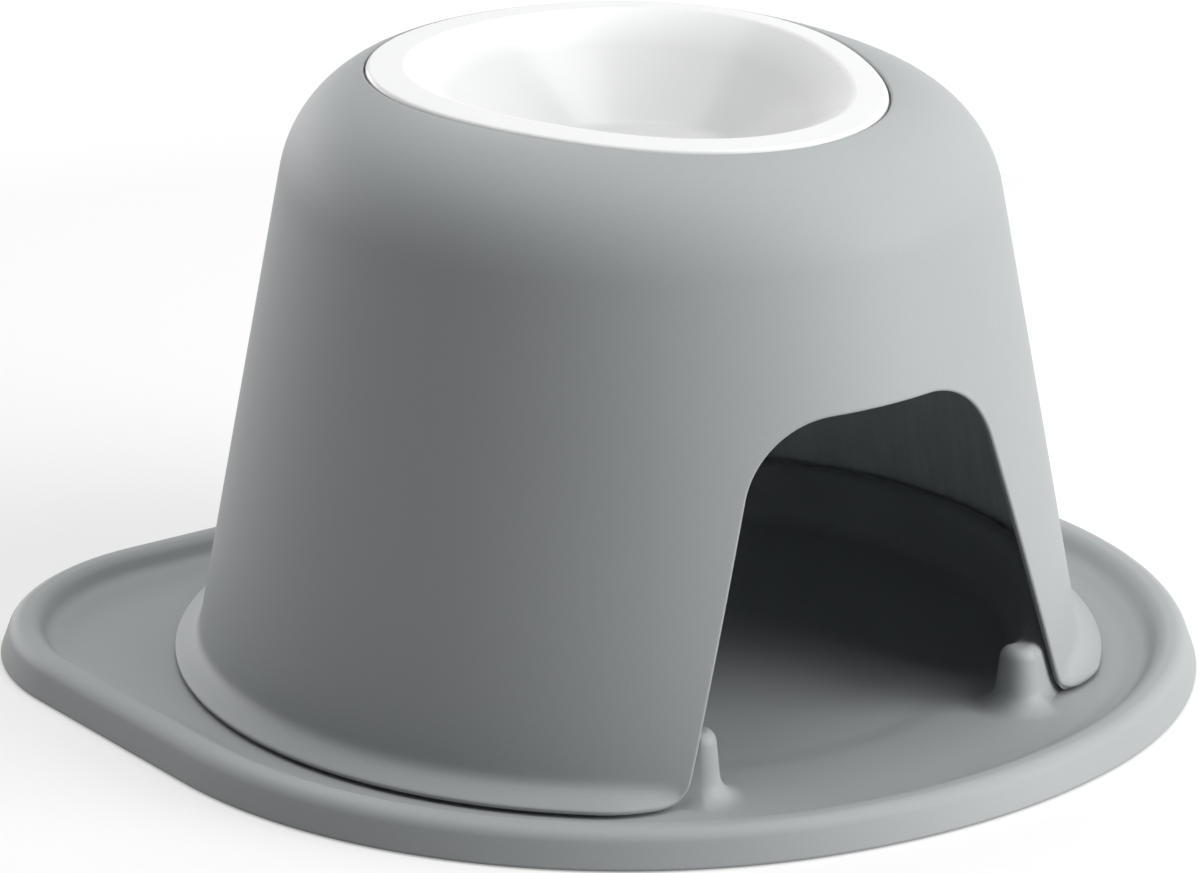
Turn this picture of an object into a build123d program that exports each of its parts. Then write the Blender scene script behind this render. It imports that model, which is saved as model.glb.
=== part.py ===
from build123d import *
import os
from math import atan, atan2, cos, degrees, pi, radians, sin, sqrt, tan

# Elevated pet bowl: a shallow tray on rubber feet, a drafted stand that drops over a raised
# collar in the tray, and a shallow bowl whose rim lies in a seat in the top of the stand.
# Millimetres. +Z is up, -Y is the front, where the stand has its arch, and the ground is Z = 0.

# Tray, in plan: a round front, straight sides and a straight back with round ears.
tray_half_width = 151.1
tray_front_reach = 148.3
tray_back_reach = 136.5
ear_radius = 70.0
haunch_setback = 9.4
crown_flattening = 35.0

# Tray, in section.
tray_lift = 1.0
tray_wall = 2.2
tray_rim_height = 8.7
skirt_lean = 3.5
rim_width = 6.8
rim_rounding = 2.6
basin_slope_width = 3.4
basin_slope_depth = 4.7
basin_apron_width = 6.0
basin_apron_depth = 1.8
basin_rounding = 2.0
centre_dish_margin = 1.6
centre_dish_depth = 0.6
centre_dish_slope = 70.0
lip_recess_gap = 0.7

# Collar: the raised ridge on the tray that the stand drops over, open at the front.
collar_height = 15.9
collar_base_width = 13.8
collar_end_angle = 28.4
collar_crest_rounding = 3.4
collar_foot_rounding = 4.5
collar_sole = 0.8
collar_clearance = 0.6

# Stand: a drafted shell with a flared lip, a tilted top and a large round shoulder.
stand_wall = 2.2
stand_floor_gap = 0.05
stand_foot_radius = 120.84
stand_draft = 10.75
lip_radius = 126.2
lip_gap = 1.0
lip_edge = 1.3
lip_rise = 3.6
lip_blend = 5.0
top_height = 162.3
top_tilt = 2.0
shoulder_radius = 24.0

# Arch in the front of the stand.
arch_height = 98.5
arch_foot_half_width = 63.7
arch_lean = 16.7
arch_corner_radius = 25.0
arch_foot_rounding = 9.0

# Bowl: a rounded, slightly three-sided rim round a shallow hollow with a round flat floor.
rim_mean_radius = 70.1
rim_oval = 3.5
rim_lobe = 2.75
rim_points = 36
rim_thickness = 3.0
rim_proud = 0.6
rim_edge_rounding = 1.3
rim_land = 8.0
rim_land_rounding = 3.0
bowl_wall = 2.5
bowl_depth = 21.6
bowl_floor_radius = 25.0
bowl_floor_rounding = 9.0
bowl_foot_height = 2.0
bowl_foot_width = 2.4
bowl_foot_radius = 24.0

# Seat for the bowl in the top of the stand.
seat_side_gap = 0.5
seat_under_gap = 0.1
seat_width = 6.0
seat_skin = 1.5
bowl_clear = 1.6

# Anti-slip feet, each with its angle from the front and its reach from the stand's axis.
foot_radius = 6.0
foot_socket_depth = 0.6
foot_socket_gap = 0.1
foot_rounding = 0.6
foot_places = {
    "foot_front": (0.0, 112.0),
    "foot_left": (-66.0, 124.6),
    "foot_right": (66.0, 124.6),
    "foot_back_left": (-131.0, 140.0),
    "foot_back_right": (131.0, 140.0),
}

# Worked out from the sizes above. The stand's axis is set so that the tray is centred on Y = 0.
axis_y = (tray_front_reach - tray_back_reach) / 2
rim_top = tray_lift + tray_rim_height
apron_top = rim_top - basin_slope_depth
floor_top = apron_top - basin_apron_depth
floor_under = floor_top - tray_wall
stand_bottom = floor_top + stand_floor_gap
lip_bottom = floor_top + lip_gap
draft_slope = tan(radians(stand_draft))
wall_across = stand_wall / cos(radians(stand_draft))
crest_inset = skirt_lean + rim_width
slope_inset = crest_inset + basin_slope_width
floor_inset = slope_inset + basin_apron_width
seat_depth = rim_thickness - rim_proud + seat_under_gap
arch_top_half_width = arch_foot_half_width - (arch_height - stand_bottom) * tan(radians(arch_lean))
recess_radius = lip_radius + lip_recess_gap
lip_recess_height = rim_top - tray_wall / 2 - floor_top
collar_outside = stand_foot_radius - wall_across - collar_clearance
collar_inside = collar_outside - collar_base_width
dish_radius = collar_inside - collar_foot_rounding - centre_dish_margin
hollow_rounding = collar_crest_rounding - tray_wall
flare_height = lip_bottom + lip_edge + lip_rise
collar_radius = collar_outside - collar_base_width / 2
stand_axis = Axis((0, axis_y, 0), (0, 0, 1))
section_plane = Plane(origin=(0, axis_y, 0), x_dir=(1, 0, 0), z_dir=(0, -1, 0))
top_plane = Plane(
    origin=(0, axis_y, top_height),
    x_dir=(1, 0, 0),
    z_dir=(0, -sin(radians(top_tilt)), cos(radians(top_tilt))),
)


def level(height):
    """A flat sketch plane at this height, centred on the stand's axis."""
    return Plane(origin=(0, axis_y, height))


def foot_plane(turn, reach, height):
    """The sketch plane of a foot at this angle from the front and this reach from the axis."""
    return Plane(origin=(reach * sin(radians(turn)), axis_y - reach * cos(radians(turn)), height))


def wall_radius(height):
    """Outer radius of the stand's drafted wall at this height."""
    return stand_foot_radius - (height - stand_bottom) * draft_slope


def tray_outline(inset):
    """The tray's plan as tangent arcs and lines, moved inwards by inset."""
    haunch_radius = tray_half_width - haunch_setback
    crown_radius = haunch_radius + crown_flattening
    crown_y = crown_radius - tray_front_reach
    haunch_y = crown_y - sqrt(crown_flattening**2 - haunch_setback**2)
    crown_sweep = degrees(atan2(haunch_setback, crown_y - haunch_y))
    side_x = tray_half_width - inset
    ear_x = tray_half_width - ear_radius
    ear_y = tray_back_reach - ear_radius
    back_y = tray_back_reach - inset
    with BuildSketch() as outline:
        with BuildLine():
            CenterArc((0, crown_y), crown_radius - inset, -90, crown_sweep)
            CenterArc((haunch_setback, haunch_y), haunch_radius - inset, crown_sweep - 90, 90 - crown_sweep)
            Line((side_x, haunch_y), (side_x, ear_y))
            CenterArc((ear_x, ear_y), ear_radius - inset, 0, 90)
            Line((ear_x, back_y), (0, back_y))
            mirror(about=Plane.YZ)
        make_face()
    return outline.sketch


def rim_outline(inset):
    """The bowl rim's outline: a circle with an oval term and a three-lobed term, moved in by inset."""
    points = []
    for step in range(rim_points):
        angle = 2 * pi * step / rim_points
        from_front = angle + pi / 2
        radius = rim_mean_radius - inset
        radius += rim_oval * cos(2 * from_front) + rim_lobe * cos(3 * from_front)
        points.append((radius * cos(angle), radius * sin(angle)))
    with BuildSketch() as outline:
        with BuildLine():
            Spline(*points, periodic=True)
        make_face()
    return outline.sketch


def upright(turn, reach):
    """An upright sketch plane that faces along the collar, at this angle and reach from the axis."""
    out = (cos(radians(turn)), sin(radians(turn)), 0)
    along = (sin(radians(turn)), -cos(radians(turn)), 0)
    return Plane(origin=(reach * out[0], axis_y + reach * out[1], 0), x_dir=out, z_dir=along)


def ridge_section(base_width, foot, crest, crest_rounding, sides=()):
    """Section across the collar: a drafted ridge, its foot flared on the sides that are named."""
    half_base = base_width / 2
    half_crest = half_base - (crest - foot) * draft_slope
    with BuildSketch() as section:
        with BuildLine():
            Polyline(
                (-half_base, foot - collar_sole),
                (half_base, foot - collar_sole),
                (half_base, foot),
                (half_crest, crest),
                (-half_crest, crest),
                (-half_base, foot),
                close=True,
            )
        make_face()
        fillet(vertices().group_by(Axis.Y)[-1], radius=crest_rounding)
        for side in sides:
            with Locations((side * (half_base + collar_foot_rounding / 2), foot - collar_sole / 2)):
                Rectangle(collar_foot_rounding, collar_sole)
            corner = vertices().sort_by_distance((side * half_base, foot))[0]
            fillet(corner, radius=collar_foot_rounding)
    return section.sketch


def collar_ridge(ring_section, peg_section):
    """The ring section carried round the stand's axis, open at the front, with a peg at each end."""
    with BuildPart() as ridge:
        with BuildSketch(upright(collar_end_angle - 90, collar_radius)):
            add(ring_section)
        revolve(axis=stand_axis, revolution_arc=360 - 2 * collar_end_angle)
        for turn, side in ((collar_end_angle - 90, -1), (-90 - collar_end_angle, 1)):
            peg_plane = upright(turn, collar_radius)
            with BuildSketch(peg_plane):
                add(peg_section)
                split(bisect_by=Plane.YZ, keep=Keep.TOP)
            revolve(axis=Axis(peg_plane.origin, (0, 0, side)), revolution_arc=180)
    return ridge.part


def stand_form(inward):
    """The stand as a solid, a drafted cone with a flared lip and a tilted top, moved inwards."""
    flare_slope = (lip_radius - wall_radius(flare_height)) / lip_rise
    lip_reach = lip_radius - inward * sqrt(1 + flare_slope**2)
    across = inward / cos(radians(stand_draft))
    corner_height = lip_reach + flare_slope * (lip_bottom + lip_edge) - wall_radius(0) + across
    corner_height = corner_height / (flare_slope - draft_slope)
    edge_height = lip_bottom + lip_edge
    if inward > 0:
        edge_height = lip_bottom
        lip_reach += flare_slope * lip_edge
    form_bottom = lip_bottom - inward
    form_top = top_height + lip_radius * sin(radians(top_tilt))
    with BuildPart() as form:
        with BuildSketch(section_plane):
            with BuildLine():
                Polyline(
                    (0, form_bottom),
                    (lip_reach, form_bottom),
                    (lip_reach, edge_height),
                    (wall_radius(corner_height) - across, corner_height),
                    (wall_radius(form_top) - across, form_top),
                    (0, form_top),
                    close=True,
                )
            make_face()
            blend_corner = vertices().filter_by(lambda corner: abs(corner.Y - corner_height) < 0.001)
            fillet(blend_corner, radius=lip_blend + inward)
        revolve(axis=stand_axis)
        split(bisect_by=top_plane.offset(-inward), keep=Keep.BOTTOM)
        fillet(form.faces().sort_by(Axis.Z)[-1].edges(), radius=shoulder_radius - inward)
    return form.part


def bowl_hollow():
    """The bowl's hollow: straight sloping sides with a rounded corner round the flat floor."""
    with BuildPart() as hollow:
        with BuildSketch(top_plane.offset(rim_proud - bowl_depth)):
            Circle(bowl_floor_radius)
        with BuildSketch(top_plane.offset(rim_proud)):
            add(rim_outline(rim_land))
        loft(ruled=True)
        fillet(hollow.faces().sort_by(Axis.Z)[0].edges(), radius=bowl_floor_rounding)
    return hollow.part


# Collar: the ridge is flared inwards only, its end pegs all round, and it is hollow from below.
collar_crest = floor_top + collar_height
ring_section = ridge_section(
    collar_base_width, floor_top, collar_crest, collar_crest_rounding, sides=(-1,)
)
peg_section = ridge_section(
    collar_base_width, floor_top, collar_crest, collar_crest_rounding, sides=(-1, 1)
)
hollow_section = ridge_section(
    collar_base_width - 2 * tray_wall, floor_under, collar_crest - tray_wall, hollow_rounding
)

# Tray: skirt and round-topped rim.
skirt_taper = degrees(atan(skirt_lean / tray_rim_height))
with BuildPart() as tray:
    with BuildSketch(level(tray_lift)):
        add(tray_outline(0))
    extrude(amount=tray_rim_height, taper=skirt_taper)
    fillet(tray.faces().sort_by(Axis.Z)[-1].edges(), radius=rim_rounding)
    with BuildSketch(level(tray_lift)):
        add(tray_outline(tray_wall))
    extrude(amount=tray_rim_height - tray_wall, taper=skirt_taper, mode=Mode.SUBTRACT)
    # The basin's own shell hangs from the rim.
    with BuildSketch(level(rim_top - tray_wall)):
        add(tray_outline(crest_inset - tray_wall))
    with BuildSketch(level(apron_top - tray_wall)):
        add(tray_outline(slope_inset - tray_wall))
    with BuildSketch(level(floor_under)):
        add(tray_outline(floor_inset))
    loft(ruled=True)
    # At the back the basin also has its own wall round the stand's lip.
    with BuildSketch(level(floor_under)):
        Circle(recess_radius + tray_wall)
    extrude(amount=floor_top + lip_recess_height - floor_under)
    # The basin's hollow: a steep slope, a gentle apron and a flat floor.
    with BuildSketch(level(rim_top)):
        add(tray_outline(crest_inset))
    with BuildSketch(level(apron_top)):
        add(tray_outline(slope_inset))
    with BuildSketch(level(floor_top)):
        add(tray_outline(floor_inset))
    loft(ruled=True, mode=Mode.SUBTRACT)
    fillet(tray.faces().sort_by(Axis.Z)[-1].inner_wires()[0].edges(), radius=rim_rounding)
    slope_foot = tray.edges().filter_by(lambda edge: abs(edge.center().Z - apron_top) < 0.01)
    fillet(slope_foot.filter_by(lambda edge: edge.bounding_box().size.Z < 0.01), radius=basin_rounding)
    with BuildSketch(level(floor_top)):
        Circle(recess_radius)
    extrude(amount=rim_top, mode=Mode.SUBTRACT)
    add(collar_ridge(ring_section, peg_section))
    add(collar_ridge(hollow_section, hollow_section), mode=Mode.SUBTRACT)
    # Shallow dish inside the collar.
    with BuildSketch(level(floor_top)):
        Circle(dish_radius)
    extrude(amount=-centre_dish_depth, taper=centre_dish_slope, mode=Mode.SUBTRACT)
    # Sockets for the feet in the underside of the floor.
    for turn, reach in foot_places.values():
        with BuildSketch(foot_plane(turn, reach, floor_under)):
            Circle(foot_radius + foot_socket_gap)
        extrude(amount=foot_socket_depth, mode=Mode.SUBTRACT)
tray.part.label = "tray"

# Stand: the solid form less the same form moved inwards by the wall.
with BuildPart() as stand:
    add(stand_form(0))
    add(stand_form(stand_wall), mode=Mode.SUBTRACT)
    # The wall runs on straight down to the tray's floor inside the lip.
    with BuildSketch(section_plane):
        with BuildLine():
            Polyline(
                (wall_radius(stand_bottom) - wall_across, stand_bottom),
                (wall_radius(stand_bottom), stand_bottom),
                (wall_radius(flare_height), flare_height),
                (wall_radius(flare_height) - wall_across, flare_height),
                close=True,
            )
        make_face()
    revolve(axis=stand_axis)
    # Seat: a ledge under the skin, a recess for the rim and a hole for the bowl.
    with BuildSketch(top_plane.offset(-seat_depth - stand_wall)):
        add(rim_outline(-seat_side_gap - stand_wall))
    extrude(amount=seat_depth + stand_wall - seat_skin)
    with BuildSketch(top_plane.offset(-seat_depth)):
        add(rim_outline(-seat_side_gap))
    extrude(amount=2 * seat_depth, mode=Mode.SUBTRACT)
    with BuildSketch(top_plane.offset(seat_depth)):
        add(rim_outline(seat_width))
    extrude(amount=-3 * seat_depth - 2 * stand_wall, mode=Mode.SUBTRACT)
    # Arch, cut forwards from the stand's axis.
    with BuildSketch(section_plane):
        with BuildLine():
            Polyline(
                (-arch_top_half_width, arch_height),
                (-arch_foot_half_width, stand_bottom),
                (-lip_radius, stand_bottom),
                (-lip_radius, 0),
                (lip_radius, 0),
                (lip_radius, stand_bottom),
                (arch_foot_half_width, stand_bottom),
                (arch_top_half_width, arch_height),
                close=True,
            )
        make_face()
        corners = vertices().group_by(Axis.Y)
        fillet(corners[-1], radius=arch_corner_radius)
        foot_corners = vertices().filter_by(
            lambda corner: abs(abs(corner.X) - arch_foot_half_width) < 0.01
        )
        fillet(foot_corners, radius=arch_foot_rounding)
    extrude(amount=lip_radius + stand_wall, mode=Mode.SUBTRACT)
stand.part.label = "stand"

# Bowl: a land round a shallow hollow, with a short foot ring below.
rim_under = rim_proud - rim_thickness
hollow_floor = rim_proud - bowl_depth
with BuildPart() as bowl:
    with BuildSketch(top_plane.offset(hollow_floor - bowl_wall)):
        Circle(bowl_floor_radius + bowl_wall)
    with BuildSketch(top_plane.offset(rim_under)):
        add(rim_outline(rim_land + bowl_clear))
    loft(ruled=True)
    fillet(bowl.faces().sort_by(Axis.Z)[0].edges(), radius=bowl_floor_rounding + bowl_wall)
    with BuildSketch(top_plane.offset(rim_under)):
        add(rim_outline(0))
    extrude(amount=rim_thickness)
    fillet(bowl.faces().sort_by(Axis.Z)[-1].edges(), radius=rim_edge_rounding)
    add(bowl_hollow(), mode=Mode.SUBTRACT)
    fillet(bowl.faces().sort_by(Axis.Z)[-1].inner_wires()[0].edges(), radius=rim_land_rounding)
    with BuildSketch(top_plane.offset(hollow_floor - bowl_wall - bowl_foot_height)):
        Circle(bowl_foot_radius)
        Circle(bowl_foot_radius - bowl_foot_width, mode=Mode.SUBTRACT)
    extrude(amount=bowl_foot_height + bowl_wall / 2)
bowl.part.label = "bowl"

# Feet, pressed into the sockets.
feet = {}
for name, (turn, reach) in foot_places.items():
    with BuildPart() as foot:
        with BuildSketch(foot_plane(turn, reach, 0)):
            Circle(foot_radius)
        extrude(amount=floor_under + foot_socket_depth)
        fillet(foot.faces().sort_by(Axis.Z)[0].edges(), radius=foot_rounding)
    foot.part.label = name
    feet[name] = foot.part

os.makedirs("parts", exist_ok=True)
export_step(tray.part, "parts/tray.step")
export_step(stand.part, "parts/stand.step")
export_step(bowl.part, "parts/bowl.step")
for name, piece in feet.items():
    export_step(piece, f"parts/{name}.step")
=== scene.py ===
from math import atan, ceil, cos, pi, radians, sin, sqrt, tan

import bmesh
import bpy
import numpy as np
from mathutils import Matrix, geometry


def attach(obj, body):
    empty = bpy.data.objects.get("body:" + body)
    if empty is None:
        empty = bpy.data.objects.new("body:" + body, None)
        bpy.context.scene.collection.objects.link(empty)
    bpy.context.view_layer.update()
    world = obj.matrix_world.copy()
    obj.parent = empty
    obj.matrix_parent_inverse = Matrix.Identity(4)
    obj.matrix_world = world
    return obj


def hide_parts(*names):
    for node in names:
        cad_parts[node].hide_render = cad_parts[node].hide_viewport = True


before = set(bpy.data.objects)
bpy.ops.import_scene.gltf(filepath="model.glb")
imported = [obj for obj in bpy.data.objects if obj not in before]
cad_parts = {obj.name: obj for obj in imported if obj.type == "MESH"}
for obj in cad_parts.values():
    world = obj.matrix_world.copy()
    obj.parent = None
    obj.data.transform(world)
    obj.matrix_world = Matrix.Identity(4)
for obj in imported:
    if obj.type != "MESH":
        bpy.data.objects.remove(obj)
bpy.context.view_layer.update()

# Tray. The real one is a single injection moulding in cool grey plastic: a round front, a straight
# back with two round ears, a rolled rim, a shallow basin and a raised C-shaped collar. It stands
# on five feet, with its skirt just clear of the ground. Lengths are in millimetres.
tray_half_width = 151.1
tray_front_reach = 148.3
tray_back_reach = 136.5
ear_radius = 70.0
haunch_setback = 9.4
crown_flattening = 35.0
crown_points = 14
haunch_points = 72
ear_points = 54
longest_straight = 6.0
stand_axis_y = (tray_front_reach - tray_back_reach) / 2
skirt_bottom = 0.2
skirt_lean = 3.5
rim_top = 9.7
rim_inner = 10.3
slope_foot = 13.7
slope_foot_height = 5.0
floor_inset = 19.7
floor_top = 3.2
floor_under = 1.0
floor_margin = 2.0
tray_wall = 2.2
skirt_thinning = 0.5
rim_thickening = 0.6
slope_thickening = 0.4
floor_thickening = 0.3
tray_roundings = [12.0, 5.0, 4.6, 4.4, 0.7, 0.6, 1.0, 1.0, 1.0, 1.0]
section_steps = 9
collar_radius = 111.13
collar_left_end = radians(29.8)
collar_right_end = radians(26.9)
collar_crest = 19.1
collar_half_base = 6.9
collar_half_crest = 3.88
collar_crest_rounding = 3.4
collar_inner_flare = 0.4
collar_flare = 4.5
collar_end_flare = 6.3
collar_end_length = 9.0
collar_end_rise = {"right": 1.1, "left": 2.3}
collar_end_growth = 0.7
collar_growth_foot = 9.0
collar_growth_height = 10.0
collar_columns = 260
cap_columns = 24
groove_half_base = 4.7
groove_half_crest = 1.68
groove_crest = 16.9
groove_crest_rounding = 1.2
groove_clearance = 117.0
lip_recess = 127.4
dish_radius = 98.0
dish_depth = 0.45
dish_step_width = 10.0
dish_steps = 12
dish_columns = 360
pole_reach = 0.001
dish_rings = (80.0, 55.0, 28.0, pole_reach)
foot_places = {
    "foot_front": (0.0, 112.0),
    "foot_left": (-66.0, 124.6),
    "foot_right": (66.0, 124.6),
    "foot_back_left": (-131.0, 140.0),
    "foot_back_right": (131.0, 140.0),
}
socket_radius = 6.1
socket_depth = 0.6
socket_columns = 48


def tray_outline():
    """The tray's plan and its outward directions: four arcs and two straights for the right half,
    where each arc's point is centre + radius x (cos, sin), and the same half mirrored."""
    haunch_radius = tray_half_width - haunch_setback
    crown_radius = haunch_radius + crown_flattening
    crown_y = crown_radius - tray_front_reach
    haunch_y = crown_y - sqrt(crown_flattening**2 - haunch_setback**2)
    sweep = atan(haunch_setback / (crown_y - haunch_y))
    ear_x = tray_half_width - ear_radius
    ear_y = tray_back_reach - ear_radius
    angles, centres, radii = [], [], []
    for centre, radius, start, end, count in (
        ((0.0, crown_y), crown_radius, -pi / 2, sweep - pi / 2, crown_points),
        ((haunch_setback, haunch_y), haunch_radius, sweep - pi / 2, 0.0, haunch_points),
        ((ear_x, ear_y), ear_radius, 0.0, pi / 2, ear_points),
    ):
        angles.append(np.linspace(start, end, count))
        centres.append(np.tile(centre, (count, 1)))
        radii.append(np.full(count, radius))
    angle = np.concatenate(angles)
    outward = np.stack([np.cos(angle), np.sin(angle)], 1)
    right = np.concatenate(centres) + np.concatenate(radii)[:, None] * outward
    both = np.concatenate([right, right[::-1] * (-1, 1)])
    turned = np.concatenate([outward, outward[::-1] * (-1, 1)])
    ahead = np.linalg.norm(np.roll(both, -1, 0) - both, axis=1)
    kept = ahead > 0.001
    both, turned, ahead = both[kept], turned[kept], ahead[kept]
    # Straights are cut into short pieces: point = start + share x (end - start).
    parts = np.maximum(1, np.ceil(ahead / longest_straight)).astype(int)
    index = np.repeat(np.arange(len(both)), parts)
    share = np.concatenate([np.arange(count) / count for count in parts])[:, None]
    following = (index + 1) % len(both)
    points = both[index] * (1 - share) + both[following] * share
    directions = turned[index] * (1 - share) + turned[following] * share
    directions /= np.linalg.norm(directions, axis=1)[:, None]
    return points + (0.0, stand_axis_y), directions


def rounded_path(corners, radii, steps=6):
    """Rows of points along straight runs with a tangent arc at each inner corner: the arc's centre
    lies on the corner's bisector at radius / sin(half angle), and its points turn evenly about it."""
    corners = [np.asarray(corner, float) for corner in corners]
    rows = [corners[0]]
    for before, corner, after, radius in zip(corners, corners[1:], corners[2:], radii):
        back = before - corner
        ahead = after - corner
        back = back / np.linalg.norm(back, axis=-1, keepdims=True)
        ahead = ahead / np.linalg.norm(ahead, axis=-1, keepdims=True)
        half = np.arccos(np.clip(np.sum(back * ahead, -1, keepdims=True), -1, 1)) / 2
        middle = back + ahead
        middle = middle / np.linalg.norm(middle, axis=-1, keepdims=True)
        centre = corner + middle * radius / np.sin(half)
        first = corner + back * radius / np.tan(half) - centre
        last = corner + ahead * radius / np.tan(half) - centre
        sweep = pi - 2 * half
        for share in np.linspace(0, 1, steps):
            part = first * np.sin((1 - share) * sweep) + last * np.sin(share * sweep)
            rows.append(centre + part / np.sin(sweep))
    rows.append(corners[-1])
    return np.stack(rows)


def filled_rows(rows, longest):
    """The same rows with each long step between neighbours cut into equal parts."""
    filled = [rows[:1]]
    for low, high in zip(rows[:-1], rows[1:]):
        parts = max(1, ceil(float(np.mean(np.linalg.norm(high - low, axis=-1))) / longest))
        share = (np.arange(1, parts + 1) / parts).reshape((-1,) + (1,) * low.ndim)
        filled.append(low + (high - low) * share)
    return np.concatenate(filled)


def grid_faces(rows, columns, closed_rows=False):
    """Quads of a grid whose columns go round: each joins (row, column) to its next neighbours."""
    row = np.arange(rows if closed_rows else rows - 1)[:, None]
    column = np.arange(columns)[None, :]
    after = (row + 1) % rows
    beside = (column + 1) % columns
    here, there = row * columns, after * columns
    corners = np.broadcast_arrays(here + column, here + beside, there + beside, there + column)
    return np.stack(corners, -1).reshape(-1, 4)


def moulded_piece(name, shells, sharp_angle=50.0):
    """One closed mesh from (points, faces) shells in millimetres, welded along their shared seams."""
    points, faces, count = [], [], 0
    for shell_points, shell_faces in shells:
        points.append(np.asarray(shell_points).reshape(-1, 3))
        faces += (np.asarray(shell_faces) + count).tolist()
        count += len(points[-1])
    mesh = bpy.data.meshes.new(name)
    mesh.from_pydata((np.concatenate(points) * 0.001).tolist(), [], faces)
    welded = bmesh.new()
    welded.from_mesh(mesh)
    bmesh.ops.remove_doubles(welded, verts=welded.verts, dist=0.000002)
    bmesh.ops.dissolve_degenerate(welded, edges=welded.edges, dist=0.000001)
    bmesh.ops.recalc_face_normals(welded, faces=welded.faces)
    welded.to_mesh(mesh)
    welded.free()
    mesh.shade_smooth()
    mesh.set_sharp_from_angle(angle=radians(sharp_angle))
    piece = bpy.data.objects.new(name, mesh)
    bpy.context.collection.objects.link(piece)
    even = piece.modifiers.new("even_normals", "WEIGHTED_NORMAL")
    even.keep_sharp = True
    return piece


def flat_sheet(loops, height):
    """A level sheet between closed loops: a Delaunay triangulation of the loops, of which those
    triangles stay whose middle a ray leaves by an odd number of the loops' edges."""
    outline = np.concatenate(loops)
    edges, start = [], 0
    for loop in loops:
        ring = np.arange(len(loop))
        edges += np.stack([ring, (ring + 1) % len(loop)], 1).__add__(start).tolist()
        start += len(loop)
    result = geometry.delaunay_2d_cdt(outline.tolist(), edges, [], 0, 0.00001)
    points = np.array([tuple(point) for point in result[0]])
    triangles = np.array(result[2])
    middle = points[triangles].mean(1)[:, None]
    ends = np.concatenate([np.roll(loop, -1, 0) for loop in loops])[None]
    starts = outline[None]
    spans = (starts[..., 1] > middle[..., 1]) != (ends[..., 1] > middle[..., 1])
    rise = np.where(spans, ends[..., 1] - starts[..., 1], 1.0)
    crossing = starts[..., 0] + (ends[..., 0] - starts[..., 0]) * (middle[..., 1] - starts[..., 1]) / rise
    triangles = triangles[(spans & (crossing > middle[..., 0])).sum(1) % 2 == 1]
    return np.column_stack([points, np.full(len(points), height)]), triangles


outline_points, outline_outward = tray_outline()


def inset_rows(profile):
    """Rings round the tray: outline point - inset x outward direction, at the profile's height."""
    flat = outline_points[None] - profile[:, None, :1] * outline_outward[None]
    tall = np.broadcast_to(profile[:, None, 1:], flat.shape[:2] + (1,))
    return np.concatenate([flat, tall], -1)


def polar(turn, reach):
    """A plan point at this angle from +X and this reach from the stand's axis."""
    return np.stack([reach * np.cos(turn), stand_axis_y + reach * np.sin(turn)], -1)


# Rim and basin: the section runs from the basin floor over the rim, down the skirt and back inside.
tray_section = rounded_path(
    [
        (floor_inset + floor_margin, floor_top),
        (floor_inset, floor_top),
        (slope_foot, slope_foot_height),
        (rim_inner, rim_top),
        (skirt_lean, rim_top),
        (0.0, skirt_bottom),
        (tray_wall, skirt_bottom),
        (tray_wall + skirt_lean - skirt_thinning, rim_top - tray_wall),
        (rim_inner - rim_thickening, rim_top - tray_wall),
        (slope_foot - slope_thickening, slope_foot_height - tray_wall),
        (floor_inset - floor_thickening, floor_under),
        (floor_inset + floor_margin, floor_under),
    ],
    tray_roundings,
    section_steps,
)
rim_rows = inset_rows(filled_rows(tray_section, 2.5))
# The lip's recess: where a ring of the basin's slope would come nearer to the axis than the stand's
# lip, its points move out to the recess.
from_axis = rim_rows[..., :2] - (0.0, stand_axis_y)
reach = np.linalg.norm(from_axis, axis=-1, keepdims=True)
in_basin = (np.arange(len(rim_rows)) < np.argmax(rim_rows[:, 0, 2]) + 1)[:, None, None]
at_back = (from_axis[..., 1:] > 0) & (reach < lip_recess) & in_basin
plan = np.where(at_back, from_axis * lip_recess / reach, from_axis)
# Below, the innermost rings keep clear of the collar's groove in the same way.
below = (rim_rows[..., 2:] < floor_under + 0.01) & (reach < groove_clearance)
rim_rows[..., :2] = np.where(below, from_axis * groove_clearance / reach, plan) + (0.0, stand_axis_y)

# Collar: rings round the C-shaped centre line, at a distance and a height across it.
along = np.linspace(collar_right_end - pi / 2, 1.5 * pi - collar_left_end, collar_columns)
cap = np.linspace(0, pi, cap_columns + 2)[1:-1]
at_left_end = np.full(cap_columns, along[-1])
at_right_end = np.full(cap_columns, along[0])
centre_turn = np.concatenate([along, at_left_end, along[::-1], at_right_end])
facing = np.concatenate([along, along[-1] + cap, along[::-1] + pi, along[0] + pi + cap])
collar_line = polar(centre_turn, collar_radius)
collar_outward = np.stack([np.cos(facing), np.sin(facing)], -1)
end_distance = collar_radius * np.minimum(along - along[0], along[-1] - along)
near_end = np.clip(1 - end_distance / collar_end_length, 0, 1) ** 2
at_cap = np.ones(cap_columns)
end_share = np.concatenate([near_end, at_cap, near_end[::-1], at_cap])[:, None]
side_flare = np.where(np.arange(len(facing)) < collar_columns, collar_inner_flare, collar_flare)
flare = side_flare[:, None] * (1 - end_share) + collar_end_flare * end_share


def collar_rings(corners, radii, steps, raised, growth):
    """Rings about the collar's centre line: line point + distance x facing, at the height."""
    corners = [np.broadcast_to(corner, (len(facing), 2)) for corner in corners]
    section = filled_rows(rounded_path(corners, radii, steps), 2.0)
    upper = np.clip((section[..., 1:] - collar_growth_foot) / collar_growth_height, 0, 1) * end_share
    section = section + upper * growth * np.sign(section[..., :1]) * (1.0, 0.0)
    section = section + upper * raised * (0.0, 1.0)
    flat = collar_line[None] + section[..., :1] * collar_outward[None]
    return np.concatenate([flat, section[..., 1:]], -1)


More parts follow.
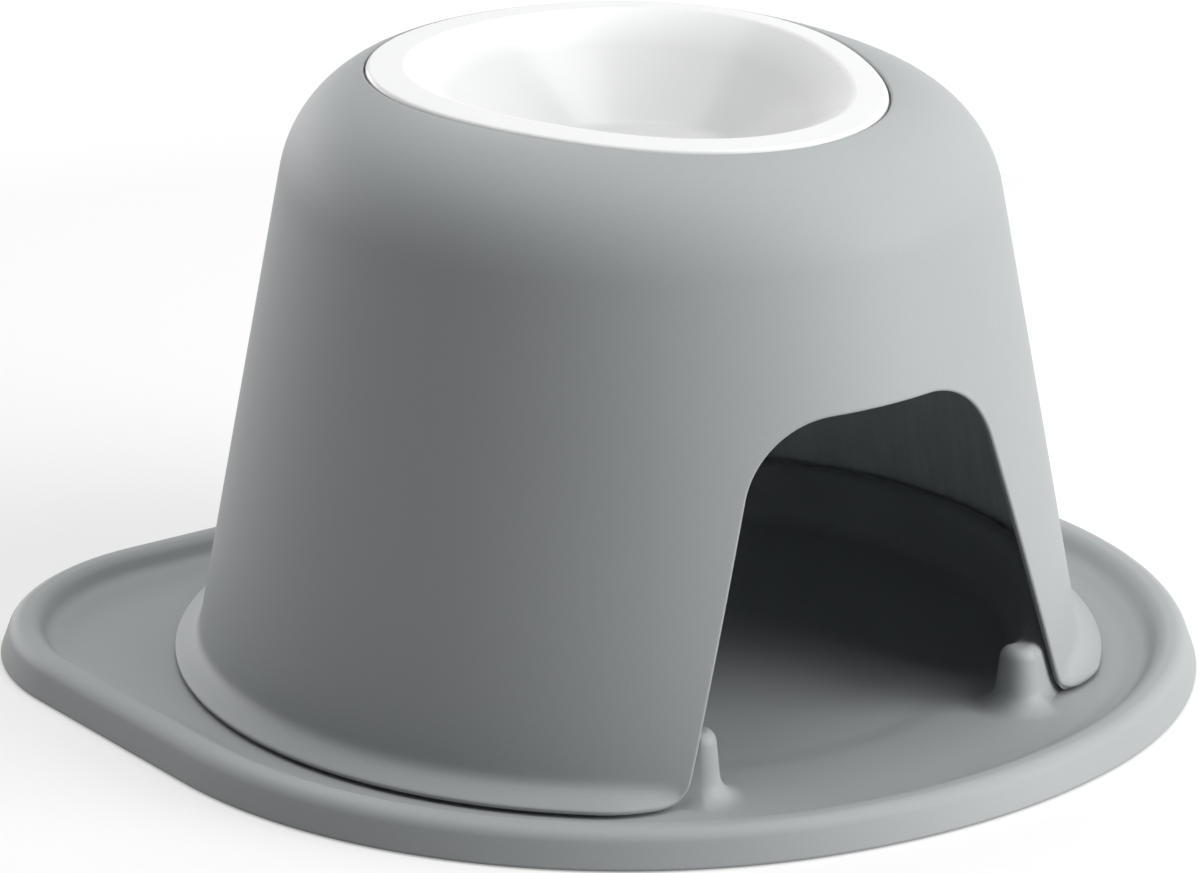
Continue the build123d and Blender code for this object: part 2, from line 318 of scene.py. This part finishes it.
collar_rows = collar_rings(
    [
        (0.0, collar_crest),
        (collar_half_crest, collar_crest),
        (collar_half_base, floor_top),
        (collar_half_base + collar_end_flare, floor_top),
    ],
    [collar_crest_rounding, flare],
    section_steps,
    np.where(collar_line[:, :1] < 0, collar_end_rise["left"], collar_end_rise["right"]),
    collar_end_growth,
)[:-1]
groove_rows = collar_rings(
    [(0.0, groove_crest), (groove_half_crest, groove_crest), (groove_half_base, floor_under)],
    [groove_crest_rounding],
    5,
    0.0,
    0.0,
)
# The dish inside the collar: a soft step of a cosine's shape down to its flat floor.
step = np.linspace(0, 1, dish_steps + 1)
dish_reach = np.concatenate([dish_radius - dish_step_width * step, dish_rings])
fallen = np.concatenate([step, np.ones(len(dish_rings))])
dish_height = floor_top - dish_depth * (1 - np.cos(pi * fallen)) / 2
dish_turns = np.linspace(-pi / 2, 1.5 * pi, dish_columns + 1)[:-1]
dish_flat = polar(dish_turns[None], dish_reach[:, None])
dish_rows = np.concatenate(
    [dish_flat, np.broadcast_to(dish_height[:, None, None], dish_flat.shape[:2] + (1,))], -1
)

# Sheets: the basin's floor between rim, collar and dish, and the underside round groove and sockets.
foot_centres = {
    name: polar(radians(turn) - pi / 2, reach) for name, (turn, reach) in foot_places.items()
}
basin_sheet = flat_sheet([rim_rows[0, :, :2], collar_rows[-1, :, :2], dish_rows[0, :, :2]], floor_top)
socket_turns = np.linspace(0, 2 * pi, socket_columns + 1)[:-1]
socket_ring = np.stack([np.cos(socket_turns), np.sin(socket_turns)], -1)
socket_loops = [centre + socket_radius * socket_ring for centre in foot_centres.values()]
under_sheet = flat_sheet([rim_rows[-1, :, :2], groove_rows[-1, :, :2]] + socket_loops, floor_under)
tray_shells = [
    (rim_rows, grid_faces(len(rim_rows), len(outline_points))),
    (collar_rows, grid_faces(len(collar_rows), len(facing))),
    (groove_rows, grid_faces(len(groove_rows), len(facing))),
    (dish_rows, grid_faces(len(dish_rows), dish_columns)),
    basin_sheet,
    under_sheet,
]
for centre in foot_centres.values():
    # A socket's wall and ceiling: rings of the socket's circle, the last one closed to a point.
    socket_rows = np.stack([
        np.column_stack([centre + size * socket_ring, np.full(socket_columns, height)])
        for size, height in (
            (socket_radius, floor_under),
            (socket_radius, floor_under + socket_depth),
            (pole_reach, floor_under + socket_depth),
        )
    ])
    tray_shells.append((socket_rows, grid_faces(len(socket_rows), socket_columns)))
tray = moulded_piece("tray_moulding", tray_shells)


class Signal:
    """One output of a material's or the world's nodes. Arithmetic on it adds Math nodes."""

    def __init__(self, material, socket=None):
        self.material = material
        self.socket = socket

    def node(self, kind, settings, inputs, output=0):
        """Adds a node, sets its own settings first and a ramp's stops, then its inputs."""
        made = self.material.node_tree.nodes.new("ShaderNode" + kind)
        stops = settings.pop("stops", None)
        for key, value in settings.items():
            setattr(made, key, value)
        if stops:
            ramp = made.color_ramp.elements
            while len(ramp) < len(stops):
                ramp.new(0.5)
            for element, (place, tone) in zip(ramp, stops):
                element.position = place
                element.color = (tone, tone, tone, 1.0)
        for key, value in inputs.items():
            if isinstance(value, Signal):
                self.material.node_tree.links.new(value.socket, made.inputs[key])
            else:
                made.inputs[key].default_value = value
        return Signal(self.material, made.outputs[output])

    def split(self):
        """The three coordinates of a vector, each a Signal of its own."""
        parts = self.node("SeparateXYZ", {}, {"Vector": self})
        return [Signal(self.material, output) for output in parts.socket.node.outputs]

    def feed(self, shader, name):
        """Links this output to the shader's socket of that name."""
        self.material.node_tree.links.new(self.socket, shader.inputs[name])

    def maths(self, operation, first, second=0.0):
        return self.node("Math", {"operation": operation}, {0: first, 1: second})

    def __add__(self, other):
        return self.maths("ADD", self, other)

    def __sub__(self, other):
        return self.maths("SUBTRACT", self, other)

    def __rsub__(self, other):
        return self.maths("SUBTRACT", other, self)

    def __mul__(self, other):
        return self.maths("MULTIPLY", self, other)

    def __truediv__(self, other):
        return self.maths("DIVIDE", self, other)

    def __rtruediv__(self, other):
        return self.maths("DIVIDE", other, self)

    def __pow__(self, other):
        return self.maths("POWER", self, other)

    __radd__ = __add__
    __rmul__ = __mul__


def new_finish(name):
    """A new material, its shader and a Signal to build its nodes with."""
    material = bpy.data.materials.new(name)
    material.use_nodes = True
    shader = material.node_tree.nodes["Principled BSDF"]
    return material, shader, Signal(material)


cool_grey = (0.322, 0.338, 0.344)
inner_side_at_ground = 0.11975
inner_side_draft = 0.18985
inner_blend = 0.0006
inner_fade = (0.134, 0.124)
# How much the stand's inside is lifted by painted light, standing in for light reaching into it.
inside_painted_light = 1.2
streak_contrast = 0.9


def moulded_grey(name, inside_light_and_streaks):
    """Satin moulded plastic: an even grey with a faint cloudiness and speckle, the fine pitted
    grain of a textured mould, and on the stand's inside a paler tone that is painted light, standing in
    for light that reaches in, with the streaks that the core left: the inside is where the reach is less
    than ground reach - draft x height. In metres."""
    material, shader, start = new_finish(name)
    axis = stand_axis_y * 0.001
    place = start.node("TexCoord", {}, {}, output=3)
    cloud = start.node("TexNoise", {}, {"Vector": place, "Scale": 14.0, "Detail": 3.0, "Roughness": 0.5})
    speck = start.node("TexNoise", {}, {"Vector": place, "Scale": 900.0, "Detail": 2.0, "Roughness": 0.6})
    grain = start.node(
        "TexNoise", {}, {"Vector": place, "Scale": 1500.0, "Detail": 3.0, "Roughness": 0.65}
    )
    pits = start.node("TexVoronoi", {"feature": "F1"}, {"Vector": place, "Scale": 1100.0})
    streak_place = start.node(
        "Mapping", {}, {"Vector": place, "Location": (0.0, -axis, 0.0), "Scale": (260.0, 260.0, 5.0)}
    )
    streak = start.node(
        "TexNoise", {}, {"Vector": streak_place, "Scale": 1.0, "Detail": 4.0, "Roughness": 0.6}
    )
    across, depth, height = place.split()
    depth = depth - axis
    reach = (across * across + depth * depth) ** 0.5
    within = inner_side_at_ground - height * inner_side_draft - reach
    inside = start.node(
        "MapRange", {"clamp": True}, {0: within, 1: 0.0, 2: inner_blend, 3: 0.0, 4: inside_light_and_streaks}
    )
    inside = inside * start.node(
        "MapRange", {"clamp": True}, {0: height, 1: inner_fade[0], 2: inner_fade[1], 3: 0.0, 4: 1.0}
    )
    # On the stand's inside the tone is lifted as painted light for its shaded inside; the core's streaks on
    # it are the plastic's own.
    tone = 0.93 + cloud * 0.08 + speck * 0.06 + inside * (inside_painted_light + (streak - 0.5) * streak_contrast)
    tinted = start.node("VectorMath", {"operation": "SCALE"}, {0: cool_grey, 3: tone})
    relief = grain * 0.6 + pits * 0.4 + (streak - 0.5) * inside * 0.4
    tinted.feed(shader, "Base Color")
    (0.47 + cloud * 0.06 + speck * 0.07).feed(shader, "Roughness")
    start.node("Bump", {}, {"Strength": 0.16, "Distance": 0.00012, "Height": relief}).feed(shader, "Normal")
    shader.inputs["Specular IOR Level"].default_value = 0.28
    return material


tray.data.materials.append(moulded_grey("tray_grey", 0.0))
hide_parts("tray")
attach(tray, "tray")

# Feet. Five dark rubber pads pressed into sockets under the tray, each with two ring grooves in its
# sole. They keep the tray from sliding and hold its skirt just off the ground.
sole = [
    (pole_reach, 0.0), (1.4, 0.0), (1.7, 0.3), (2.5, 0.3), (2.8, 0.0), (3.5, 0.0), (3.8, 0.3), (4.6, 0.3),
    (4.9, 0.0), (5.5, 0.0), (5.8, 0.12), (5.95, 0.35), (6.0, 0.6), (6.0, 1.6), (pole_reach, 1.6),
]
rubber_black = (0.022, 0.022, 0.024, 1.0)
rubber_dust = (0.075, 0.073, 0.07, 1.0)


def rubber_finish():
    """Dark rubber: nearly black, with a dusty bloom from noise and a fine pebbled grain."""
    material, shader, start = new_finish("foot_rubber")
    place = start.node("TexCoord", {}, {}, output=3)
    bloom = start.node("TexNoise", {}, {"Vector": place, "Scale": 260.0, "Detail": 4.0})
    pebble = start.node("TexVoronoi", {"feature": "F1"}, {"Vector": place, "Scale": 1600.0})
    dusty = start.node(
        "Mix", {"data_type": "RGBA"}, {0: bloom * 0.5, 6: rubber_black, 7: rubber_dust}, output=2
    )
    dusty.feed(shader, "Base Color")
    (0.62 + bloom * 0.2).feed(shader, "Roughness")
    start.node("Bump", {}, {"Strength": 0.4, "Distance": 0.0001, "Height": pebble}).feed(shader, "Normal")
    return material


foot_rubber = rubber_finish()
for name, centre in foot_centres.items():
    # A turned pad: centre + sole radius x (cos, sin), at the sole's height.
    pad = np.array(sole)
    flat = centre + pad[:, None, :1] * socket_ring[None]
    tall = np.broadcast_to(pad[:, None, 1:], flat.shape[:2] + (1,))
    pad_rows = np.concatenate([flat, tall], -1)
    foot = moulded_piece(name + "_pad", [(pad_rows, grid_faces(len(pad), socket_columns))])
    foot.data.materials.append(foot_rubber)
    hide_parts(name)
    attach(foot, "tray")

# Stand. One drafted shell in the same grey plastic, open below, with a big round shoulder, a top
# that tilts a little to the front, an arch with rounded corners and a flared lip at its foot. It
# drops over the tray's collar and is held by nothing but its weight.
stand_foot_radius = 120.84
stand_bottom = 3.25
stand_draft = tan(radians(10.75))
stand_wall = 2.2
cone_at_ground = stand_foot_radius + stand_bottom * stand_draft
lip_radius = 126.2
lip_bottom = 4.2
lip_edge_top = 5.5
lip_top = 9.1
lip_crest_rounding = 0.6
lip_blend = 5.0
lip_section_end = 40.0
lip_fade_start = 32.5
lip_fade_width = 9.5
top_height = 162.3
top_tilt = tan(radians(2.0))
shoulder_radius = 34.0
arch_height = 97.7
arch_start = 78.0
arch_foot_half = 63.7
arch_top_half = 35.1
arch_corner_radius = 26.0
arch_slant = 0.011
arch_foot_rounding = 9.0
edge_rounding = 0.7
edge_spacing = 2.6
edge_shift = 4.6
edge_shift_fade = 0.05
back_columns = 234
rim_mean = 69.3
rim_oval = 3.5
rim_lobe = 2.75
rim_rear_shift = 2.3
seat_gap = 0.4
seat_rounding = 0.7
seat_depth = 2.52
seat_width = 6.0
boss_width = 2.7
boss_depth = 2.2
outer_climb = 66
inner_climb = 34


def rim_reach(azimuth):
    """The bowl rim's radius from the stand's axis: a mean, an oval term in twice and a lobed term
    in three times the angle, and the first harmonic of its small offset to the rear."""
    lobes = rim_oval * np.cos(2 * azimuth) + rim_lobe * np.cos(3 * azimuth)
    return rim_mean + lobes - rim_rear_shift * np.cos(azimuth)


def shell_section(azimuth, run, inward):
    """Radius and height on the stand's shell, a run in millimetres up the cone's side and on round
    the shoulder. The side is radius = ground radius - draft x height. The shoulder is a circle
    tangent to the side through the rim's edge: it starts below the edge by sqrt(2 x shoulder
    radius x inset - inset^2), the inset being the edge's distance from the side."""
    side = sqrt(1 + stand_draft**2)
    edge = rim_reach(azimuth) + seat_gap
    edge_top = top_height - top_tilt * np.cos(azimuth) * edge
    edge_inset = (cone_at_ground - edge - stand_draft * edge_top) / side
    edge_run = (edge_top - stand_draft * (edge - cone_at_ground)) / side
    start = edge_run - np.sqrt(2 * shoulder_radius * edge_inset - edge_inset**2) - stand_draft * inward
    radius = shoulder_radius - inward
    up = np.minimum(run, start)
    turn = np.maximum(run - start, 0) / radius
    reach = cone_at_ground - inward * side - stand_draft * up / side
    reach = reach - radius / side * ((1 - np.cos(turn)) + stand_draft * np.sin(turn))
    return reach, up / side + radius / side * (np.sin(turn) - stand_draft * (1 - np.cos(turn)))


def run_to_reach(azimuth, wanted, inward):
    """The run at which the shell comes in to the wanted radius: run + 0.8 x what is left of the
    reach, over and over."""
    run = np.full_like(azimuth, 150.0)
    for _ in range(40):
        reach, _height = shell_section(azimuth, run, inward)
        run = run + np.clip((reach - wanted) * 0.8, -6.0, 6.0)
    return run


def lip_flare(azimuth, height):
    """How far the lip stands out of the cone: its section by height, fading towards the arch."""
    section = rounded_path(
        [
            (lip_radius, 0.0),
            (lip_radius, lip_edge_top),
            (cone_at_ground - stand_draft * lip_top, lip_top),
            (cone_at_ground - stand_draft * lip_section_end, lip_section_end),
        ],
        [lip_crest_rounding, lip_blend],
        12,
    )
    out = np.interp(height, section[:, 1], section[:, 0] - cone_at_ground + stand_draft * section[:, 1])
    from_arch = np.clip((np.abs(np.degrees(azimuth)) - lip_fade_start) / lip_fade_width, 0, 1)
    return out * np.sin(from_arch * pi / 2)


# The shell's lower edge: up one side of the arch, over it and down, then round the back.
arch_half = filled_rows(
    rounded_path(
        [
            (arch_start, stand_bottom),
            (arch_foot_half, stand_bottom),
            (arch_top_half, arch_height),
            (0.0, arch_height),
        ],
        [arch_foot_rounding, arch_corner_radius],
        20,
    ),
    edge_spacing,
)
arch_edge = np.concatenate([arch_half, arch_half[-2::-1] * (-1, 1)])
arch_edge[:, 0] -= arch_slant * (arch_edge[:, 1] - stand_bottom)
arch_azimuth = np.arcsin(arch_edge[:, 0] / (cone_at_ground - stand_draft * arch_edge[:, 1]))
back_start = float(arch_azimuth[0])
back_azimuth = np.linspace(-back_start, back_start - 2 * pi, back_columns + 2)[1:-1]
edge_azimuth = np.concatenate([arch_azimuth, back_azimuth])
edge_height = np.concatenate([arch_edge[:, 1], np.full(back_columns, stand_bottom)])
column_count = len(edge_azimuth)
side_scale = sqrt(1 + stand_draft**2)


def shell_edge(inward, lower_height):
    """The shell's lower edge in azimuth and run, its radius and its in-surface normal: the step
    between neighbours turned a quarter. The arch is cut straight back, so both skins share its x."""
    foot = cone_at_ground - inward * side_scale
    raised = np.clip(1 - (edge_height - stand_bottom) / arch_foot_rounding, 0, 1)
    height = edge_height + (lower_height - stand_bottom) * raised
    radius = foot - stand_draft * height
    cut_x = (cone_at_ground - stand_draft * edge_height) * np.sin(edge_azimuth)
    on_arch = np.arange(column_count) < len(arch_azimuth)
    azimuth = np.where(on_arch, np.arcsin(np.clip(cut_x / radius, -1, 1)), edge_azimuth)
    shift = azimuth[0] - edge_azimuth[0]
    wrapped = np.where(edge_azimuth < -pi, edge_azimuth + 2 * pi, edge_azimuth)
    behind = np.abs(wrapped) - back_start
    faded = np.sign(wrapped) * shift * np.exp(-behind / edge_shift_fade)
    azimuth = np.where(on_arch, azimuth, edge_azimuth + faded)
    run = height * side_scale
    step_x = ((np.roll(azimuth, -1) - np.roll(azimuth, 1) + pi) % (2 * pi) - pi) * radius
    step_run = np.roll(run, -1) - np.roll(run, 1)
    length = np.hypot(step_x, step_run)
    return azimuth, run, height, radius, step_run / length, -step_x / length


def shell_rows(inward, lower_height, fade_lip, upper_reach, blend_steps, climb_steps):
    """Rows from the lower edge to the seat. The first rows are the edge moved by a distance along
    its normal in the developed cone and sunk by the edge's round, rounding - sqrt(rounding^2 -
    (rounding - distance)^2); the rest go straight up from there to the seat."""
    azimuth, run, height, radius, normal_x, normal_run = shell_edge(inward, lower_height)
    rows = []
    distances = np.concatenate([edge_rounding * (1 - np.cos(np.linspace(0, pi / 2, 5))), blend_steps])
    for distance in distances:
        sunk = 0.0
        if distance < edge_rounding:
            sunk = edge_rounding - sqrt(edge_rounding**2 - (edge_rounding - distance) ** 2)
        rows.append((azimuth + normal_x * distance / radius, run + normal_run * distance, sunk))
    end_run = run_to_reach(top_azimuth, upper_reach, inward)
    last_azimuth, last_run, _sunk = rows[-1]
    reach_left = np.hypot((top_azimuth - last_azimuth) * 100.0, end_run - last_run)
    early = np.array([0.7, 1.5, 2.4, 3.5, 4.9, 6.8])[:, None] / reach_left[None]
    share = np.linspace(0, 1, climb_steps)[1:, None]
    late = early[-1:] + (1 - early[-1:]) * (1 - (1 - share) ** 1.25)
    for part in np.concatenate([early, late]):
        climbed = last_run + (end_run - last_run) * part
        rows.append((last_azimuth + (top_azimuth - last_azimuth) * part, climbed, 0.0))
    points = []
    for row_azimuth, row_run, sunk in rows:
        reach, row_height = shell_section(row_azimuth, row_run, inward)
        if fade_lip:
            reach = reach + lip_flare(row_azimuth, row_height) - sunk
        else:
            reach = reach + sunk
        points.append(ring_points(row_azimuth, reach, row_height))
    return np.stack(points), azimuth, height


def ring_points(azimuth, reach, height):
    """Points at (reach x sin, axis - reach x cos, height): azimuth is counted from the front."""
    height = np.broadcast_to(height, reach.shape)
    return np.stack([reach * np.sin(azimuth), stand_axis_y - reach * np.cos(azimuth), height], -1)


foot_azimuth, _run, _height, foot_reach, foot_normal, _rise = shell_edge(0.0, lip_bottom)
top_azimuth = foot_azimuth + foot_normal * edge_shift / foot_reach
seat_reach = rim_reach(top_azimuth)
outer_end = seat_reach + seat_gap + seat_rounding
outer_rows, outer_azimuth, _height = shell_rows(
    0.0, lip_bottom, True, outer_end, [1.0, 1.3, 1.7, 2.3, 3.0, 3.8, edge_shift], outer_climb
)
inner_rows, _azimuth, inner_height = shell_rows(
    stand_wall, stand_bottom, False, seat_reach + boss_width, [1.2, 2.2, 3.4, edge_shift], inner_climb
)
# Seat: a small round at its edge, the recess's wall, the ledge, the hole and the boss below.
seat_top = outer_rows[-1, :, 2]
seat_rows = []
for turn in np.linspace(0.3, pi / 2, 4):
    seat_rows.append(ring_points(
        top_azimuth,
        seat_reach + seat_gap + seat_rounding * (1 - sin(turn)),
        seat_top - seat_rounding * (1 - cos(turn)),
    ))
for offset, drop in (
    (seat_gap, seat_depth),
    (-2.0, seat_depth),
    (-seat_width + 0.3, seat_depth),
    (-seat_width, seat_depth + 0.3),
    (-seat_width, seat_depth + boss_depth),
    (boss_width, seat_depth + boss_depth),
):
    reach = seat_reach + offset
    plane = top_height - top_tilt * reach * np.cos(top_azimuth)
    seat_rows.append(ring_points(top_azimuth, reach, plane - drop))
# Foot: from the inner edge across the wall's foot and the lip's underside to the outer edge; on
# the arch, where both edges are level, a point straight between them.
corner_reach = cone_at_ground - stand_draft * inner_height - edge_rounding
corner = ring_points(outer_azimuth, corner_reach, inner_height)
level = np.clip(1 - (edge_height - stand_bottom) / arch_foot_rounding, 0, 1)[:, None]
foot_rows = (inner_rows[0] * 0.4 + outer_rows[0] * 0.6) * (1 - level) + corner * level
foot_rows = foot_rows[None]
stand_rows = np.concatenate([outer_rows, np.stack(seat_rows), inner_rows[::-1], foot_rows])
stand_faces = grid_faces(len(stand_rows), column_count, closed_rows=True)
stand = moulded_piece("stand_shell", [(stand_rows, stand_faces)])
stand.data.materials.append(moulded_grey("stand_grey", 1.0))
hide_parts("stand")
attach(stand, "stand")

# Bowl. A glossy white plastic dish, moulded in one: a broad level land round a shallow hollow with
# sloping sides and a round flat floor, and a short foot ring below. It rests by its land on the
# stand's seat and lifts out for washing.
rim_proud = 0.4
rim_thickness = 2.9
land_mean = 9.7
land_growth = 2.2
land_widest = radians(-60.0)
land_undercut = 1.6
bowl_depth = 21.6
bowl_floor = 25.0
bowl_wall = 2.5
foot_ring = {"outer": 24.0, "inner": 21.6, "height": 2.0}
bowl_roundings = [9.0, 3.4, 1.35, 0.5, 0.8, 6.5, 0.3, 0.6, 0.6, 0.3]
bowl_columns = 288
bowl_azimuth = np.linspace(0, 2 * pi, bowl_columns + 1)[:-1]
rim_edge = rim_reach(bowl_azimuth)
land_width = land_mean + land_growth * np.cos(bowl_azimuth - land_widest)


def bowl_corner(reach, height):
    """A corner of the bowl's section for every azimuth: (reach, height above the tilted top)."""
    return np.stack([np.broadcast_to(reach, rim_edge.shape), np.full(rim_edge.shape, height)], -1)


hollow_floor = rim_proud - bowl_depth
hollow_under = hollow_floor - bowl_wall
sole_height = hollow_under - foot_ring["height"]
bowl_section = filled_rows(
    rounded_path(
        [
            bowl_corner(pole_reach, hollow_floor),
            bowl_corner(bowl_floor, hollow_floor),
            bowl_corner(rim_edge - land_width, rim_proud),
            bowl_corner(rim_edge, rim_proud),
            bowl_corner(rim_edge, rim_proud - rim_thickness),
            bowl_corner(rim_edge - land_width - land_undercut, rim_proud - rim_thickness),
            bowl_corner(bowl_floor + bowl_wall, hollow_under),
            bowl_corner(foot_ring["outer"], hollow_under),
            bowl_corner(foot_ring["outer"], sole_height),
            bowl_corner(foot_ring["inner"], sole_height),
            bowl_corner(foot_ring["inner"], hollow_under),
            bowl_corner(pole_reach, hollow_under),
        ],
        bowl_roundings,
        section_steps,
    ),
    3.0,
)
# Points of the section turned about the top's normal and set in the tilted top's plane.
bowl_across = bowl_section[..., 0] * np.sin(bowl_azimuth)
bowl_along = -bowl_section[..., 0] * np.cos(bowl_azimuth)
bowl_up = bowl_section[..., 1]
tilt_cos = cos(atan(top_tilt))
tilt_sin = sin(atan(top_tilt))
bowl_rows = np.stack(
    [
        bowl_across,
        stand_axis_y + bowl_along * tilt_cos - bowl_up * tilt_sin,
        top_height + bowl_along * tilt_sin + bowl_up * tilt_cos,
    ],
    -1,
)
bowl = moulded_piece("bowl_dish", [(bowl_rows, grid_faces(len(bowl_rows), bowl_columns))])
land_white = (0.745, 0.75, 0.75, 1.0)
# The hollow's deeper white is painted shade, not a second colour of the plastic.
hollow_white_painted_shade = (0.605, 0.61, 0.61, 1.0)
hollow_fade = 0.007


def glossy_white():
    """Polished white plastic: a plain white, with painted shade in the hollow that makes it a deeper white
    than the land, the faintest mottling, roughness that drifts a little with handling, and the shallow
    orange-peel ripple that a polished moulding keeps."""
    material, shader, start = new_finish("bowl_white")
    place = start.node("TexCoord", {}, {}, output=3)
    mottle = start.node("TexNoise", {}, {"Vector": place, "Scale": 30.0, "Detail": 3.0})
    ripple = start.node("TexNoise", {}, {"Vector": place, "Scale": 190.0, "Detail": 2.0})
    smear = start.node("TexNoise", {}, {"Vector": place, "Scale": 60.0, "Detail": 5.0, "Roughness": 0.7})
    _across, depth, height = place.split()
    below = depth * top_tilt + top_height * 0.001 - height
    hollow_shade_mask = start.node("MapRange", {"clamp": True}, {0: below, 1: 0.0, 2: hollow_fade, 3: 0.0, 4: 1.0})
    # Painted shade: the hollow gets the deeper white, the land the plain white.
    shade = start.node(
        "Mix", {"data_type": "RGBA"}, {0: hollow_shade_mask, 6: land_white, 7: hollow_white_painted_shade}, output=2
    )
    shade = start.node("VectorMath", {"operation": "SCALE"}, {0: shade, 3: 0.98 + mottle * 0.04})
    shade.feed(shader, "Base Color")
    (0.13 + smear * 0.10).feed(shader, "Roughness")
    start.node("Bump", {}, {"Strength": 0.05, "Distance": 0.0002, "Height": ripple}).feed(shader, "Normal")
    shader.inputs["Specular IOR Level"].default_value = 0.24
    return material


bowl.data.materials.append(glossy_white())
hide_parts("bowl")
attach(bowl, "bowl")

# Studio. A plain floor that keeps the soft shadow and looks pale to the camera and in reflections,
# five soft lamps round the object, and a plain surround that the same rays see as white.
floor_half = 6.0
floor_grey = (0.5, 0.5, 0.5, 1.0)
floor_glow = {"near": (0.5, 0.4), "far": (1.6, 1.0)}
floor_mesh = bpy.data.meshes.new("studio_floor")
floor_corners = [(-1, -1, 0), (1, -1, 0), (1, 1, 0), (-1, 1, 0)]
floor_mesh.from_pydata((np.array(floor_corners) * floor_half).tolist(), [], [(0, 1, 2, 3)])
studio_floor = bpy.data.objects.new("studio_floor", floor_mesh)
bpy.context.collection.objects.link(studio_floor)
floor_paint, floor_shader, start = new_finish("studio_white")
floor_shader.inputs["Base Color"].default_value = floor_grey
floor_shader.inputs["Emission Strength"].default_value = 1.0
floor_shader.inputs["Roughness"].default_value = 0.9
floor_shader.inputs["Specular IOR Level"].default_value = 0.0
floor_place = start.node("TexCoord", {}, {}, output=3)
away = start.node("VectorMath", {"operation": "LENGTH"}, {0: floor_place}, output=1)
(near, near_glow), (far, far_glow) = floor_glow["near"], floor_glow["far"]
glow = start.node("MapRange", {"clamp": True}, {0: away, 1: near, 2: far, 3: near_glow, 4: far_glow})


def seen_or_mirrored(start):
    """1 for the camera's rays and for glossy rays, and 0 for diffuse rays."""
    return start.node("LightPath", {}, {}) + start.node("LightPath", {}, {}, output=3)


(seen_or_mirrored(start) * glow).feed(floor_shader, "Emission Color")
floor_mesh.materials.append(floor_paint)

aim_height = 0.08
for name, azimuth, elevation, distance, size, power in (
    ("lamp_rear", -170.0, 12.0, 1.8, (1.5, 0.7), 12.0),
    ("lamp_right", 38.0, 11.0, 1.8, (1.1, 0.5), 25.0),
    ("lamp_overhead", 170.0, 84.0, 2.2, (2.6, 2.4), 43.0),
    ("lamp_front", 30.0, 42.0, 1.8, (1.5, 1.0), 16.5),
    ("lamp_window", 98.0, 62.0, 1.5, (0.5, 0.42), 1.8),
):
    # A rectangular lamp, at an azimuth from the front and an elevation, turned to face the object.
    light = bpy.data.lights.new(name, "AREA")
    light.shape = "RECTANGLE"
    light.size, light.size_y = size
    light.energy = power
    lamp = bpy.data.objects.new(name, light)
    bpy.context.collection.objects.link(lamp)
    turn, rise = radians(azimuth), radians(elevation)
    away, above = distance * cos(rise), distance * sin(rise)
    lamp.location = (away * sin(turn), -away * cos(turn), aim_height + above)
    lamp.rotation_euler = (pi / 2 - rise, 0.0, turn)

surround_light = 0.02
world = bpy.data.worlds.new("studio")
bpy.context.scene.world = world
world.use_nodes = True
background = world.node_tree.nodes["Background"]
background.inputs["Color"].default_value = (1.0, 1.0, 1.0, 1.0)
surround = seen_or_mirrored(Signal(world)) * (1 - surround_light) + surround_light
surround.feed(background, "Strength")

# Camera. It stands to the front left and looks down about nineteen degrees, on a long lens.
camera_place = (-0.7787, -1.00735, 0.4953)
camera_pitch = 0.3271
camera_turn = -0.6471
focal_length = 150.0
film_width = 36.0
lens = bpy.data.cameras.new("camera")
lens.lens = focal_length
lens.sensor_fit = "HORIZONTAL"
lens.sensor_width = film_width
lens.dof.use_dof = False
camera = bpy.data.objects.new("camera", lens)
bpy.context.collection.objects.link(camera)
camera.location = camera_place
camera.rotation_euler = (pi / 2 - camera_pitch, 0.0, camera_turn)
bpy.context.scene.camera = camera
bpy.context.scene.view_settings.view_transform = "Standard"
